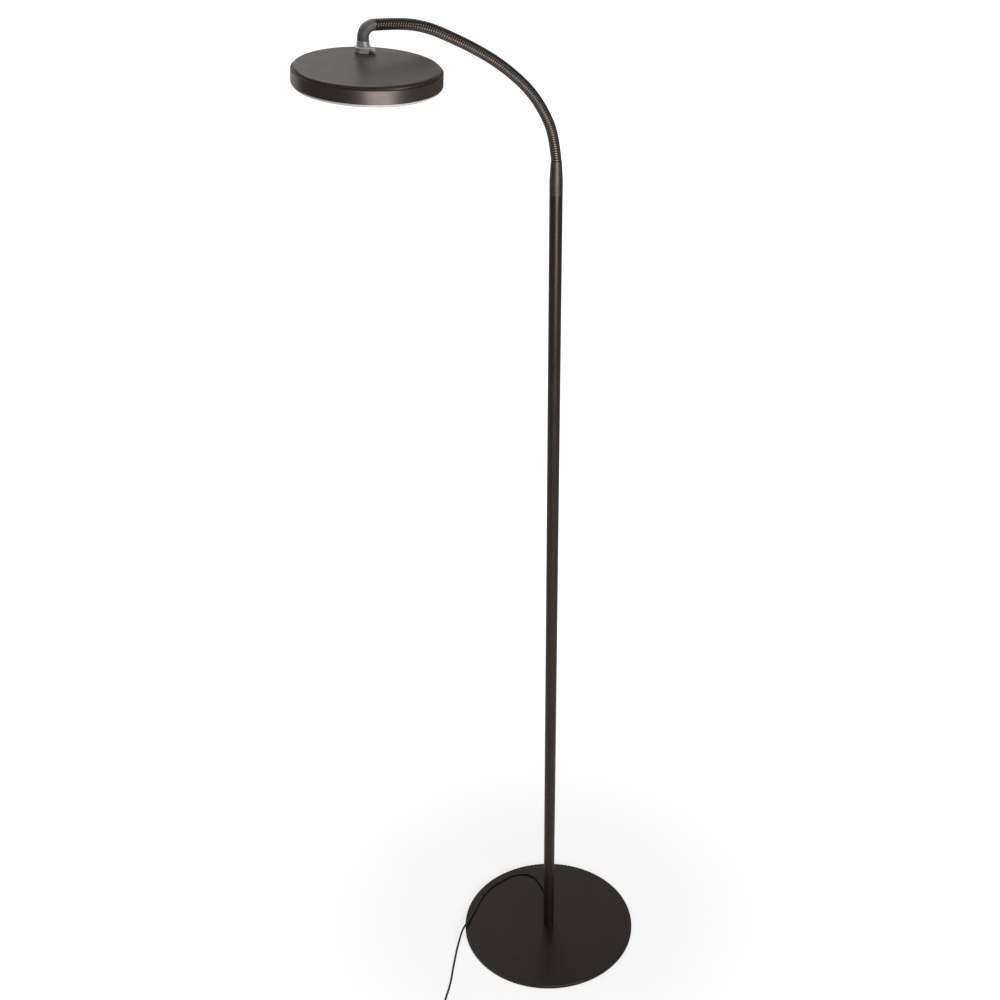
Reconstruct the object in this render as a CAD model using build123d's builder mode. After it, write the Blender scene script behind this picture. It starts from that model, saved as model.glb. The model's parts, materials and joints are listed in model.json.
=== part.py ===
"""Gooseneck reading floor lamp: round steel base, straight pole, ribbed neck and flat round light head.

Millimetres, +Z up. The origin is the middle of the base's underside, on the pole's axis.
The neck bends in the XZ plane, towards -X.
"""

import os
from math import cos, dist, pi, radians, sin, sqrt, tan

from build123d import *

os.makedirs("parts", exist_ok=True)

# ---------------------------------------------------------------- driving dimensions
# Base
BASE_RADIUS = 130.0
PAD_THICKNESS = 1.0
PAD_INSET = 6.0
PLATE_THICKNESS = 5.0
PLATE_EDGE_ROUND = 1.2
SCREW_RADIUS = 4.0
SCREW_HEAD_RADIUS = 8.0
SCREW_LENGTH = 20.0
SCREW_TIP = 1.0
HEX_KEY_WIDTH = 5.0
HEX_KEY_DEPTH = 2.6

# Pole
POLE_RADIUS = 8.0
POLE_WALL = 1.2
LOWER_POLE_LENGTH = 895.0
UPPER_POLE_LENGTH = 309.0
FOOT_CLEARANCE = 1.0
COUPLER_LENGTH = 50.0
COUPLER_BORE_RADIUS = 4.2
PLUG_CHAMFER = 0.6
FIT_CLEARANCE = 0.08
OVERCUT = 1.0

# Ferrule between the pole and the neck
FERRULE_STRAIGHT = 18.0
FERRULE_TAPER = 23.0
FERRULE_TOP_RADIUS = 6.5
FERRULE_SPIGOT_LENGTH = 18.0
FERRULE_TOP_ROUND = 0.6
SOCKET_DEPTH = 12.0

# Ribbed neck
NECK_RADIUS = 6.3
RIB_DEPTH = 0.55
NECK_SIDES = 12
NECK_BORE_RADIUS = 2.5
NECK_LENGTH = 323.0
RIBS_PER_SEGMENT = 10
SEGMENT_ANGLES = [6.6, 23.9, 33.7, 44.7, 50.8, 56.6, 60.2, 62.6, 74.9, 85.6]
BALL_RADIUS = 4.9
BALL_CLEARANCE = 0.3
BALL_RINGS = (0.42, 0.68)
JOINT_GAP = 2.5
SPIGOT_RADIUS = 4.6
END_SPIGOT_RADIUS = 4.3
END_SPIGOT_LENGTH = 3.0

# Elbow, collar and swivel
ELBOW_RADIUS = 6.25
ELBOW_WALL = 1.4
ELBOW_BEND_RADIUS = 11.75
ELBOW_DROP = 3.4
COLLAR_RADIUS = 7.3
COLLAR_TOP_RADIUS = 6.7
COLLAR_HEIGHT = 6.0
COLLAR_ROUND = 0.3
NUT_ACROSS_FLATS = 15.2
NUT_DISC_RADIUS = 9.2
NUT_DISC_HEIGHT = 1.6
NUT_DISC_CHAMFER = 0.4
NUT_HEIGHT = 6.0
SET_SCREW_ANGLE = -50.0
SET_SCREW_RADIUS = 1.5
SET_SCREW_LEVEL = 2.8
SET_SCREW_DEPTH = 2.2
SET_SCREW_KNOB_RADIUS = 2.4
SET_SCREW_KNOB_LENGTH = 4.4
SET_SCREW_KNOB_GAP = 0.3
SET_SCREW_KNOB_CHAMFER = 0.4
STUD_RADIUS = 4.75
STUD_BORE_RADIUS = 2.6
STUD_OVERHANG = 0.4
WASHER_RADIUS = 9.0
WASHER_THICKNESS = 0.8
LOCKNUT_ACROSS_FLATS = 14.0
LOCKNUT_HEIGHT = 3.2
RUNNING_CLEARANCE = 0.08
SEAT_CLEARANCE = 0.06

# Light head
HEAD_RADIUS = 78.5
HEAD_TILT = 3.4
HEAD_OFFSET_ALONG = 19.6
HEAD_OFFSET_SIDE = 49.1
TOP_THICKNESS = 1.2
TOP_ROUND = 4.2
BAND_WALL = 1.3
BAND_TOP_DROP = 3.6
BAND_HEIGHT = 14.3
BAND_EDGE = 0.35
LEDGE_WIDTH = 3.2
LEDGE_THICKNESS = 1.2
LEDGE_DROP = 10.4
HEAT_PLATE_THICKNESS = 2.0
BOARD_THICKNESS = 1.6
BOARD_RADIUS = 70.0
LED_RING_RADII = (16.0, 31.0, 46.0)
LED_RING_COUNTS = (6, 12, 18)
LED_LENGTH = 3.5
LED_WIDTH = 2.8
LED_HEIGHT = 0.8
DIFFUSER_WALL = 1.8
DIFFUSER_PROUD = 3.2
DIFFUSER_ROUND = 2.2
BOSS_RADIUS = 3.4
BOSS_CIRCLE_RADIUS = 66.0
BOSS_COUNT = 6
HEAD_SCREW_RADIUS = 1.5
HEAD_SCREW_HEAD_RADIUS = 2.8
HEAD_SCREW_HEAD_HEIGHT = 1.6
HEAD_SCREW_LENGTH = 6.0
WIRE_HOLE_RADIUS = 4.0
TERMINAL_LENGTH = 10.0
TERMINAL_WIDTH = 8.0
TERMINAL_HEIGHT = 3.4
TERMINAL_REACH = 20.0
HEAD_LEAD_BEND = 5.0
HEAD_LEAD_INSERT = 1.0

# Low-voltage lead, its coil and the plug-in power adapter
LEAD_RADIUS = 1.5
BEND_SHARE = 0.45
EXIT_HEIGHT = 25.0
EXIT_ANGLE = 62.0
EXIT_RUN = 12.0
POLE_LEAD_BEND = 5.0
GROMMET_RADIUS = 4.0
GROMMET_LENGTH = 4.5
GROMMET_LIP_RADIUS = 3.0
GROMMET_NECK = 2.6
COIL_CENTRE = (-231.0, -100.5)
COIL_START_ANGLE = 132.0
COIL_MEAN_RADIUS = 18.0
COIL_PITCH = 4.1
COIL_HALF_TURNS = 8
COIL_SIDES = 6
COIL_ENTRY_RUN = 14.0
COIL_EXIT_RUN = 11.0
GAP_STEP = 1.0
ADAPTER_LENGTH = 62.0
ADAPTER_WIDTH = 34.0
ADAPTER_HEIGHT = 30.0
ADAPTER_ROUND = 5.0
ADAPTER_TOP_ROUND = 2.5
ADAPTER_INLET = (-328.5, -160.1, 8.0)
ADAPTER_ANGLE = 229.0
RELIEF_LENGTH = 16.0
RELIEF_RUN = 11.0
RELIEF_ROOT_RADIUS = 3.4
RELIEF_TIP_RADIUS = 2.3
RELIEF_PLUG_RADIUS = 2.6
RELIEF_PLUG_DEPTH = 5.0
PIN_RADIUS = 2.0
PIN_LENGTH = 19.0
PIN_TIP = 0.6
PIN_SPACING = 18.6
PIN_FACE_SHIFT = 8.0
PIN_FACE_LENGTH = 36.0
PIN_FACE_HEIGHT = 14.0
PIN_FACE_ROUND = 6.5
PIN_FACE_DEPTH = 5.0

# ---------------------------------------------------------------- derived places
BASE_TOP = PAD_THICKNESS + PLATE_THICKNESS
POLE_BORE = POLE_RADIUS - POLE_WALL
PLUG_RADIUS = POLE_BORE - FIT_CLEARANCE
POLE_JOINT = BASE_TOP + LOWER_POLE_LENGTH
POLE_TOP = POLE_JOINT + UPPER_POLE_LENGTH
FERRULE_TOP = POLE_TOP + FERRULE_STRAIGHT + FERRULE_TAPER
SEGMENT_COUNT = len(SEGMENT_ANGLES)
SEGMENT_LENGTH = NECK_LENGTH / SEGMENT_COUNT
LEAD_DIAMETER = 2 * LEAD_RADIUS
LEAD_ON_FLOOR = LEAD_RADIUS + 0.1


def direction(angle):
    """Unit vector in the XZ plane, at an angle from +Z towards -X."""
    return Vector(-sin(radians(angle)), 0, cos(radians(angle)))


def finish(part, name):
    """Label a finished piece and write it."""
    part.label = name
    export_step(part, f"parts/{name}.step")


# ---------------------------------------------------------------- base
with BuildPart() as base_pad:
    with BuildSketch():
        Circle(BASE_RADIUS - PAD_INSET)
    extrude(amount=PAD_THICKNESS)
finish(base_pad.part, "base_pad")

with BuildPart() as base_plate:
    with BuildSketch(Plane.XY.offset(PAD_THICKNESS)):
        Circle(BASE_RADIUS)
    extrude(amount=PLATE_THICKNESS)
    fillet(base_plate.edges().filter_by(GeomType.CIRCLE).group_by(Axis.Z)[-1], PLATE_EDGE_ROUND)
    with Locations(base_plate.faces().sort_by(Axis.Z)[0]):
        CounterSinkHole(
            radius=SCREW_RADIUS + FIT_CLEARANCE,
            counter_sink_radius=SCREW_HEAD_RADIUS + FIT_CLEARANCE,
            counter_sink_angle=90,
        )
finish(base_plate.part, "base_plate")

with BuildPart() as base_screw:
    with BuildSketch(Plane.XZ):
        with BuildLine():
            Polyline(
                (0, PAD_THICKNESS + SEAT_CLEARANCE),
                (SCREW_HEAD_RADIUS - SEAT_CLEARANCE, PAD_THICKNESS + SEAT_CLEARANCE),
                (SCREW_RADIUS, PAD_THICKNESS + SCREW_HEAD_RADIUS - SCREW_RADIUS),
                (SCREW_RADIUS, PAD_THICKNESS + SCREW_LENGTH - SCREW_TIP),
                (SCREW_RADIUS - SCREW_TIP, PAD_THICKNESS + SCREW_LENGTH),
                (0, PAD_THICKNESS + SCREW_LENGTH),
                close=True,
            )
        make_face()
    revolve(axis=Axis.Z)
    with BuildSketch(Plane.XY.offset(PAD_THICKNESS)):
        RegularPolygon(HEX_KEY_WIDTH / 2, 6, major_radius=False)
    extrude(amount=HEX_KEY_DEPTH, mode=Mode.SUBTRACT)
finish(base_screw.part, "base_screw")

# ---------------------------------------------------------------- pole
EXIT_DIRECTION = Vector(cos(radians(EXIT_ANGLE)), sin(radians(EXIT_ANGLE)), 0)
EXIT_PLANE = Plane(origin=(0, 0, EXIT_HEIGHT), x_dir=(0, 0, 1), z_dir=EXIT_DIRECTION)

with BuildPart() as pole_foot:
    with BuildSketch(Plane.XY.offset(BASE_TOP)):
        Circle(PLUG_RADIUS)
        Circle(SCREW_RADIUS + FIT_CLEARANCE, mode=Mode.SUBTRACT)
    extrude(amount=EXIT_HEIGHT - BASE_TOP - GROMMET_RADIUS - FOOT_CLEARANCE)
    chamfer(pole_foot.edges().filter_by(GeomType.CIRCLE).sort_by(Axis.Z)[-1], PLUG_CHAMFER)
finish(pole_foot.part, "pole_foot")

with BuildPart() as lower_pole:
    with BuildSketch(Plane.XY.offset(BASE_TOP)):
        Circle(POLE_RADIUS)
        Circle(POLE_BORE, mode=Mode.SUBTRACT)
    extrude(amount=LOWER_POLE_LENGTH)
    with BuildSketch(EXIT_PLANE):
        Circle(GROMMET_LIP_RADIUS + FIT_CLEARANCE)
    extrude(amount=POLE_RADIUS + OVERCUT, mode=Mode.SUBTRACT)
finish(lower_pole.part, "lower_pole")

with BuildPart() as pole_coupler:
    with BuildSketch(Plane.XY.offset(POLE_JOINT - COUPLER_LENGTH / 2)):
        Circle(PLUG_RADIUS)
        Circle(COUPLER_BORE_RADIUS, mode=Mode.SUBTRACT)
    extrude(amount=COUPLER_LENGTH)
    chamfer(pole_coupler.edges().filter_by(GeomType.CIRCLE).group_by(Axis.Z)[-1], PLUG_CHAMFER)
finish(pole_coupler.part, "pole_coupler")

with BuildPart() as upper_pole:
    with BuildSketch(Plane.XY.offset(POLE_JOINT)):
        Circle(POLE_RADIUS)
        Circle(POLE_BORE, mode=Mode.SUBTRACT)
    extrude(amount=UPPER_POLE_LENGTH)
finish(upper_pole.part, "upper_pole")

with BuildPart() as cable_grommet:
    with BuildSketch(EXIT_PLANE.offset(POLE_RADIUS - GROMMET_NECK)):
        Circle(GROMMET_LIP_RADIUS)
    extrude(amount=GROMMET_NECK)
    with BuildSketch(EXIT_PLANE.offset(POLE_RADIUS)):
        Circle(GROMMET_RADIUS)
    with BuildSketch(EXIT_PLANE.offset(POLE_RADIUS + GROMMET_LENGTH)):
        Circle(GROMMET_LIP_RADIUS)
    loft()
    with BuildSketch(EXIT_PLANE):
        Circle(LEAD_RADIUS + FIT_CLEARANCE)
    extrude(amount=POLE_RADIUS + GROMMET_LENGTH + OVERCUT, mode=Mode.SUBTRACT)
finish(cable_grommet.part, "cable_grommet")

# ---------------------------------------------------------------- ferrule
with BuildPart() as ferrule:
    with BuildSketch(Plane.XZ):
        with BuildLine():
            Polyline(
                (NECK_BORE_RADIUS, POLE_TOP - FERRULE_SPIGOT_LENGTH),
                (PLUG_RADIUS, POLE_TOP - FERRULE_SPIGOT_LENGTH),
                (PLUG_RADIUS, POLE_TOP),
                (POLE_RADIUS, POLE_TOP),
                (POLE_RADIUS, POLE_TOP + FERRULE_STRAIGHT),
                (FERRULE_TOP_RADIUS, FERRULE_TOP),
                (SPIGOT_RADIUS + FIT_CLEARANCE, FERRULE_TOP),
                (SPIGOT_RADIUS + FIT_CLEARANCE, FERRULE_TOP - SOCKET_DEPTH),
                (NECK_BORE_RADIUS, FERRULE_TOP - SOCKET_DEPTH),
                close=True,
            )
        make_face()
    revolve(axis=Axis.Z)
    fillet(ferrule.edges().filter_by(GeomType.CIRCLE).group_by(Axis.Z)[-1].sort_by(SortBy.RADIUS)[-1],
           FERRULE_TOP_ROUND)
finish(ferrule.part, "ferrule")

# ---------------------------------------------------------------- ribbed neck
NECK_POINTS = [Vector(0, 0, FERRULE_TOP)]
for segment_angle in SEGMENT_ANGLES:
    NECK_POINTS.append(NECK_POINTS[-1] + direction(segment_angle) * SEGMENT_LENGTH)


def polygon_loft(plane, stations, mode=Mode.ADD):
    """Ruled loft through many-sided rings, given as (height, radius) pairs on one plane's normal."""
    rings = []
    for height, ring_radius in stations:
        with BuildSketch(plane.offset(height)) as ring:
            RegularPolygon(ring_radius, NECK_SIDES)
        rings.append(ring.sketch.face())
    loft(rings, ruled=True, mode=mode)


def rib_stations(start, end):
    """Heights and radii of the ribs' crests and grooves between two heights."""
    step = (end - start) / (2 * RIBS_PER_SEGMENT)
    return [
        (start + i * step, NECK_RADIUS - RIB_DEPTH * (1 - i % 2))
        for i in range(2 * RIBS_PER_SEGMENT + 1)
    ]


def ball_stations(centre):
    """Heights and radii of the ball that carries the next segment, from the end face upwards."""
    heights = [-JOINT_GAP / 2, 0, *[BALL_RADIUS * share for share in BALL_RINGS]]
    return [(centre + h, sqrt(BALL_RADIUS**2 - h**2)) for h in heights]


SOCKET_RADIUS = (BALL_RADIUS + BALL_CLEARANCE / 2) / cos(pi / NECK_SIDES)

for number, segment_angle in enumerate(SEGMENT_ANGLES, start=1):
    first = number == 1
    last = number == SEGMENT_COUNT
    axis_plane = Plane(
        origin=NECK_POINTS[number - 1], x_dir=(cos(radians(segment_angle)), 0, sin(radians(segment_angle))),
        z_dir=direction(segment_angle),
    )
    bottom = JOINT_GAP / 2
    top = SEGMENT_LENGTH if last else SEGMENT_LENGTH - JOINT_GAP / 2
    socket_bottom = BALL_RADIUS + BALL_CLEARANCE
    with BuildPart() as neck_segment:
        polygon_loft(axis_plane, rib_stations(bottom, top))
        if first:
            foot_plane = Plane.XY.offset(FERRULE_TOP)
            polygon_loft(foot_plane, [(-SOCKET_DEPTH, SPIGOT_RADIUS), (2 * bottom, SPIGOT_RADIUS)])
            bore_ends = [(-SOCKET_DEPTH, NECK_BORE_RADIUS), (2 * bottom, NECK_BORE_RADIUS)]
            polygon_loft(foot_plane, bore_ends, Mode.SUBTRACT)
        else:
            socket_ends = [(bottom, SOCKET_RADIUS), (socket_bottom, SOCKET_RADIUS)]
            polygon_loft(axis_plane, socket_ends, Mode.SUBTRACT)
        if last:
            spigot_end = top + END_SPIGOT_LENGTH
            polygon_loft(axis_plane, [(top, END_SPIGOT_RADIUS), (spigot_end, END_SPIGOT_RADIUS)])
        else:
            polygon_loft(axis_plane, ball_stations(SEGMENT_LENGTH))
        with BuildSketch(axis_plane.offset(bottom)):
            RegularPolygon(NECK_BORE_RADIUS, NECK_SIDES // 2)
        extrude(amount=SEGMENT_LENGTH + BALL_RADIUS, mode=Mode.SUBTRACT)
    finish(neck_segment.part, f"neck_segment_{number}")

# ---------------------------------------------------------------- elbow and swivel
ELBOW_START = NECK_POINTS[-1]
ELBOW_IN = SEGMENT_ANGLES[-1]
ELBOW_OUT = 180 - HEAD_TILT
ELBOW_CENTRE = ELBOW_START + direction(ELBOW_IN + 90) * ELBOW_BEND_RADIUS


def elbow_point(angle):
    """Point of the elbow's centreline where it runs at this angle."""
    return ELBOW_CENTRE - direction(angle + 90) * ELBOW_BEND_RADIUS


HEAD_UP = direction(-HEAD_TILT)
HEAD_ACROSS = Vector(cos(radians(HEAD_TILT)), 0, -sin(radians(HEAD_TILT)))
ELBOW_END = elbow_point(ELBOW_OUT)
STEM_END = ELBOW_END - HEAD_UP * (ELBOW_DROP + COLLAR_HEIGHT)
NUT_PLANE = Plane(
    origin=STEM_END - HEAD_UP * (NUT_HEIGHT + SEAT_CLEARANCE), x_dir=HEAD_ACROSS, z_dir=HEAD_UP
)
NUT_AXIS = Axis(NUT_PLANE.origin, HEAD_UP)
STUD_HOLE_RADIUS = STUD_RADIUS + RUNNING_CLEARANCE
STUD_TOP = NUT_HEIGHT + COLLAR_HEIGHT
WASHER_TOP = -TOP_THICKNESS - SEAT_CLEARANCE
LOCKNUT_TOP = WASHER_TOP - WASHER_THICKNESS - SEAT_CLEARANCE
STUD_BOTTOM = LOCKNUT_TOP - LOCKNUT_HEIGHT - STUD_OVERHANG

with BuildPart() as elbow:
    with BuildLine():
        ThreePointArc(ELBOW_START, elbow_point((ELBOW_IN + ELBOW_OUT) / 2), ELBOW_END)
        Line(ELBOW_END, STEM_END)
    with BuildSketch(Plane(origin=ELBOW_START, x_dir=(0, 1, 0), z_dir=direction(ELBOW_IN))):
        Circle(ELBOW_RADIUS)
        Circle(ELBOW_RADIUS - ELBOW_WALL, mode=Mode.SUBTRACT)
    sweep()
finish(elbow.part, "elbow")

with BuildPart() as collar:
    with BuildSketch(NUT_PLANE.offset(NUT_HEIGHT + SEAT_CLEARANCE)):
        Circle(COLLAR_RADIUS)
    with BuildSketch(NUT_PLANE.offset(NUT_HEIGHT + SEAT_CLEARANCE + COLLAR_HEIGHT)):
        Circle(COLLAR_TOP_RADIUS)
    loft()
    fillet(collar.edges().filter_by(GeomType.CIRCLE).sort_by(SortBy.RADIUS)[0], COLLAR_ROUND)
    with BuildSketch(NUT_PLANE.offset(NUT_HEIGHT)):
        Circle(ELBOW_RADIUS + FIT_CLEARANCE)
    extrude(amount=COLLAR_HEIGHT + OVERCUT, mode=Mode.SUBTRACT)
finish(collar.part, "collar")

SET_SCREW_WAY = HEAD_ACROSS * cos(radians(SET_SCREW_ANGLE)) + NUT_PLANE.y_dir * sin(radians(SET_SCREW_ANGLE))
SET_SCREW_PLANE = Plane(
    origin=NUT_PLANE.origin + HEAD_UP * SET_SCREW_LEVEL, x_dir=HEAD_UP, z_dir=SET_SCREW_WAY
)
NUT_FACE = NUT_ACROSS_FLATS / 2
SET_SCREW_START = NUT_FACE - SET_SCREW_DEPTH
KNOB_START = NUT_DISC_RADIUS + SET_SCREW_KNOB_GAP

with BuildPart() as swivel_nut:
    with BuildSketch(NUT_PLANE.offset(SEAT_CLEARANCE)):
        RegularPolygon(NUT_FACE, 6, major_radius=False, rotation=SET_SCREW_ANGLE + 30)
    extrude(amount=NUT_HEIGHT - SEAT_CLEARANCE - NUT_DISC_HEIGHT)
    with BuildSketch(NUT_PLANE.offset(NUT_HEIGHT - NUT_DISC_HEIGHT)):
        Circle(NUT_DISC_RADIUS)
    extrude(amount=NUT_DISC_HEIGHT)
    chamfer(swivel_nut.edges().filter_by(GeomType.CIRCLE).group_by(NUT_AXIS)[-1], NUT_DISC_CHAMFER)
    with BuildSketch(NUT_PLANE):
        Circle(STUD_RADIUS + FIT_CLEARANCE)
    extrude(amount=NUT_HEIGHT + OVERCUT, mode=Mode.SUBTRACT)
    with BuildSketch(SET_SCREW_PLANE.offset(SET_SCREW_START - SEAT_CLEARANCE)):
        Circle(SET_SCREW_RADIUS + FIT_CLEARANCE)
    extrude(amount=SET_SCREW_DEPTH + OVERCUT, mode=Mode.SUBTRACT)
finish(swivel_nut.part, "swivel_nut")

with BuildPart() as swivel_set_screw:
    with BuildSketch(SET_SCREW_PLANE.offset(SET_SCREW_START)):
        Circle(SET_SCREW_RADIUS)
    extrude(amount=KNOB_START - SET_SCREW_START)
    with BuildSketch(SET_SCREW_PLANE.offset(KNOB_START)):
        Circle(SET_SCREW_KNOB_RADIUS)
    extrude(amount=SET_SCREW_KNOB_LENGTH)
    chamfer(
        swivel_set_screw.edges().group_by(Axis(NUT_PLANE.origin, SET_SCREW_WAY))[-1],
        SET_SCREW_KNOB_CHAMFER,
    )
finish(swivel_set_screw.part, "swivel_set_screw")

with BuildPart() as swivel_stud:
    with BuildSketch(NUT_PLANE.offset(STUD_BOTTOM)):
        Circle(STUD_RADIUS)
        Circle(STUD_BORE_RADIUS, mode=Mode.SUBTRACT)
    extrude(amount=STUD_TOP - STUD_BOTTOM)
finish(swivel_stud.part, "swivel_stud")

with BuildPart() as friction_washer:
    with BuildSketch(NUT_PLANE.offset(WASHER_TOP)):
        Circle(WASHER_RADIUS)
        Circle(STUD_RADIUS + FIT_CLEARANCE, mode=Mode.SUBTRACT)
    extrude(amount=-WASHER_THICKNESS)
finish(friction_washer.part, "friction_washer")

with BuildPart() as swivel_locknut:
    with BuildSketch(NUT_PLANE.offset(LOCKNUT_TOP)):
        RegularPolygon(LOCKNUT_ACROSS_FLATS / 2, 6, major_radius=False)
        Circle(STUD_RADIUS + FIT_CLEARANCE, mode=Mode.SUBTRACT)
    extrude(amount=-LOCKNUT_HEIGHT)
finish(swivel_locknut.part, "swivel_locknut")

# ---------------------------------------------------------------- light head
# Heights here run down from the head's flat top; the swivel stands off the middle, towards one edge.
HEAD_PLANE = Plane(
    origin=NUT_PLANE.from_local_coords(Vector(-HEAD_OFFSET_ALONG, -HEAD_OFFSET_SIDE, 0)),
    x_dir=HEAD_ACROSS,
    z_dir=HEAD_UP,
)
PROFILE_PLANE = Plane(origin=HEAD_PLANE.origin, x_dir=HEAD_ACROSS, z_dir=(0, -1, 0))
HEAD_AXIS = Axis(HEAD_PLANE.origin, HEAD_UP)
NUT_SPOT = Vector(HEAD_OFFSET_ALONG, HEAD_OFFSET_SIDE)
BAND_INSIDE = HEAD_RADIUS - BAND_WALL
LEDGE_INSIDE = BAND_INSIDE - LEDGE_WIDTH
TOP_RADIUS = BAND_INSIDE - FIT_CLEARANCE
PLATE_BOTTOM = -LEDGE_DROP + SEAT_CLEARANCE
PLATE_TOP = PLATE_BOTTOM + HEAT_PLATE_THICKNESS
BOSS_BOTTOM = PLATE_TOP + SEAT_CLEARANCE
BOARD_TOP = PLATE_BOTTOM - SEAT_CLEARANCE
BOARD_BOTTOM = BOARD_TOP - BOARD_THICKNESS
BAND_BOTTOM = -BAND_TOP_DROP - BAND_HEIGHT
DIFFUSER_BOTTOM = BAND_BOTTOM - DIFFUSER_PROUD
DIFFUSER_TOP = -LEDGE_DROP - LEDGE_THICKNESS - SEAT_CLEARANCE
DIFFUSER_RADIUS = BAND_INSIDE - FIT_CLEARANCE
NUT_ANGLE = NUT_SPOT.get_angle(Vector(1, 0))
FIRST_BOSS_ANGLE = NUT_ANGLE + 180 / BOSS_COUNT

with BuildPart() as head_top:
    with BuildSketch(PROFILE_PLANE):
        with BuildLine():
            Line((0, 0), (TOP_RADIUS - TOP_ROUND, 0))
            TangentArc((TOP_RADIUS - TOP_ROUND, 0), (TOP_RADIUS, -TOP_ROUND), tangent=(1, 0))
            Polyline(
                (TOP_RADIUS, -TOP_ROUND),
                (TOP_RADIUS, BOSS_BOTTOM),
                (TOP_RADIUS - TOP_THICKNESS, BOSS_BOTTOM),
                (TOP_RADIUS - TOP_THICKNESS, -TOP_ROUND),
            )
            TangentArc(
                (TOP_RADIUS - TOP_THICKNESS, -TOP_ROUND),
                (TOP_RADIUS - TOP_ROUND, -TOP_THICKNESS),
                tangent=(0, 1),
            )
            Polyline((TOP_RADIUS - TOP_ROUND, -TOP_THICKNESS), (0, -TOP_THICKNESS), (0, 0))
        make_face()
    revolve(axis=HEAD_AXIS)
    with BuildSketch(HEAD_PLANE.offset(BOSS_BOTTOM)):
        with PolarLocations(BOSS_CIRCLE_RADIUS, BOSS_COUNT, FIRST_BOSS_ANGLE):
            Circle(BOSS_RADIUS)
            Circle(HEAD_SCREW_RADIUS + FIT_CLEARANCE, mode=Mode.SUBTRACT)
    extrude(amount=-BOSS_BOTTOM - TOP_THICKNESS)
    with BuildSketch(NUT_PLANE.offset(OVERCUT)):
        Circle(STUD_HOLE_RADIUS)
    extrude(amount=-TOP_THICKNESS - 2 * OVERCUT, mode=Mode.SUBTRACT)
finish(head_top.part, "head_top")

with BuildPart() as head_band:
    with BuildSketch(PROFILE_PLANE):
        with BuildLine():
            Polyline(
                (BAND_INSIDE, -BAND_TOP_DROP),
                (HEAD_RADIUS - BAND_EDGE, -BAND_TOP_DROP),
                (HEAD_RADIUS, -BAND_TOP_DROP - BAND_EDGE),
                (HEAD_RADIUS, BAND_BOTTOM + BAND_EDGE),
                (HEAD_RADIUS - BAND_EDGE, BAND_BOTTOM),
                (BAND_INSIDE, BAND_BOTTOM),
                (BAND_INSIDE, -LEDGE_DROP - LEDGE_THICKNESS),
                (LEDGE_INSIDE, -LEDGE_DROP - LEDGE_THICKNESS),
                (LEDGE_INSIDE, -LEDGE_DROP),
                (BAND_INSIDE, -LEDGE_DROP),
                close=True,
            )
        make_face()
    revolve(axis=HEAD_AXIS)
finish(head_band.part, "head_band")

with BuildPart() as heat_plate:
    with BuildSketch(HEAD_PLANE.offset(PLATE_BOTTOM)):
        Circle(TOP_RADIUS - FIT_CLEARANCE)
        with PolarLocations(BOSS_CIRCLE_RADIUS, BOSS_COUNT, FIRST_BOSS_ANGLE):
            Circle(HEAD_SCREW_RADIUS + FIT_CLEARANCE, mode=Mode.SUBTRACT)
        with Locations(NUT_SPOT):
            Circle(WIRE_HOLE_RADIUS, mode=Mode.SUBTRACT)
    extrude(amount=HEAT_PLATE_THICKNESS)
finish(heat_plate.part, "heat_plate")

with BuildPart() as led_board:
    with BuildSketch(HEAD_PLANE.offset(BOARD_TOP)):
        Circle(BOARD_RADIUS)
        with PolarLocations(BOSS_CIRCLE_RADIUS, BOSS_COUNT, FIRST_BOSS_ANGLE):
            Circle(HEAD_SCREW_RADIUS + FIT_CLEARANCE, mode=Mode.SUBTRACT)
        with Locations(NUT_SPOT):
            Circle(WIRE_HOLE_RADIUS, mode=Mode.SUBTRACT)
    extrude(amount=-BOARD_THICKNESS)
finish(led_board.part, "led_board")

with BuildPart() as leds:
    with BuildSketch(HEAD_PLANE.offset(BOARD_BOTTOM)):
        for ring_radius, count in zip(LED_RING_RADII, LED_RING_COUNTS):
            with PolarLocations(ring_radius, count):
                Rectangle(LED_LENGTH, LED_WIDTH)
    extrude(amount=-LED_HEIGHT)
finish(leds.part, "leds")

with BuildPart() as head_screws:
    with BuildSketch(HEAD_PLANE.offset(BOARD_BOTTOM)):
        with PolarLocations(BOSS_CIRCLE_RADIUS, BOSS_COUNT, FIRST_BOSS_ANGLE):
            Circle(HEAD_SCREW_HEAD_RADIUS)
    extrude(amount=-HEAD_SCREW_HEAD_HEIGHT)
    with BuildSketch(HEAD_PLANE.offset(BOARD_BOTTOM)):
        with PolarLocations(BOSS_CIRCLE_RADIUS, BOSS_COUNT, FIRST_BOSS_ANGLE):
            Circle(HEAD_SCREW_RADIUS)
    extrude(amount=HEAD_SCREW_LENGTH)
finish(head_screws.part, "head_screws")

TERMINAL_WAY = Vector(-NUT_SPOT.Y, NUT_SPOT.X).normalized()
TERMINAL_SPOT = NUT_SPOT + TERMINAL_WAY * TERMINAL_REACH
HEAD_LEAD_LEVEL = BOARD_BOTTOM - LEAD_RADIUS - SEAT_CLEARANCE

with BuildPart() as wire_terminal:
    with BuildSketch(HEAD_PLANE.offset(BOARD_BOTTOM)):
        with Locations(TERMINAL_SPOT):
            Rectangle(TERMINAL_LENGTH, TERMINAL_WIDTH, rotation=NUT_ANGLE + 90)
    extrude(amount=-TERMINAL_HEIGHT)
finish(wire_terminal.part, "wire_terminal")

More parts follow.
